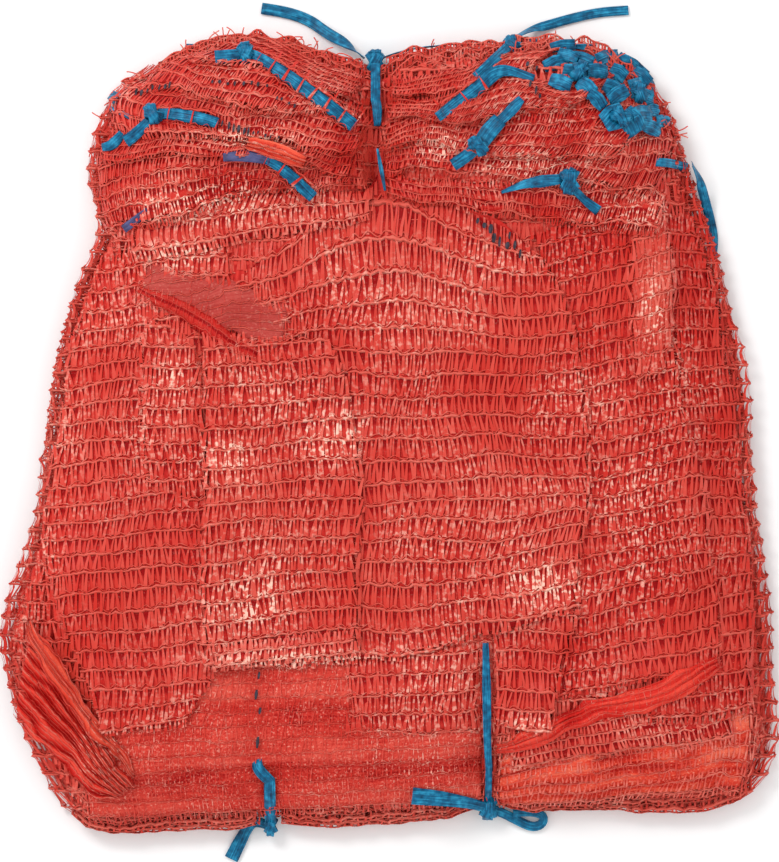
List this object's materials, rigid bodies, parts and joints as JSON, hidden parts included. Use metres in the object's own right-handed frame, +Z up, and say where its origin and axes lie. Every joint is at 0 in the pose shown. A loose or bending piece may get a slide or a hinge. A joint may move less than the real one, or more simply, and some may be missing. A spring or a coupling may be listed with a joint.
{
  "type": "bundle of mesh bags",
  "caption": "flat bundle of empty knitted mesh bags with drawstring tapes, tied through the pile and round its edge with flat plastic tapes, lying on its back",
  "frame": {"origin": "on the floor under the middle of the pile", "axes": "+X to the right of the shown side, +Y from the feet of the bags to their mouths, +Z up out of the shown side"},
  "size_m": [0.4034, 0.4557, 0.0545],
  "materials": {
    "net": "knitted polyethylene tape, satin",
    "tape": "flat polyethylene film tape, glossy"
  },
  "bodies": {
    "root": {"bag_stack": "net", "top_bag": "net", "corner_flap": "net", "top_tie": "tape", "left_tie": "tape", "right_tie": "tape", "drawstring_1": "tape", "drawstring_2": "tape", "drawstring_3": "tape", "drawstring_4": "tape", "drawstring_5": "tape", "drawstring_6": "tape", "drawstring_7": "tape", "drawstring_8": "tape", "drawstring_bunch": "tape", "top_tie_end": "tape", "drawstring_5_end": "tape", "side_end": "tape"}
  },
  "joints": []
}
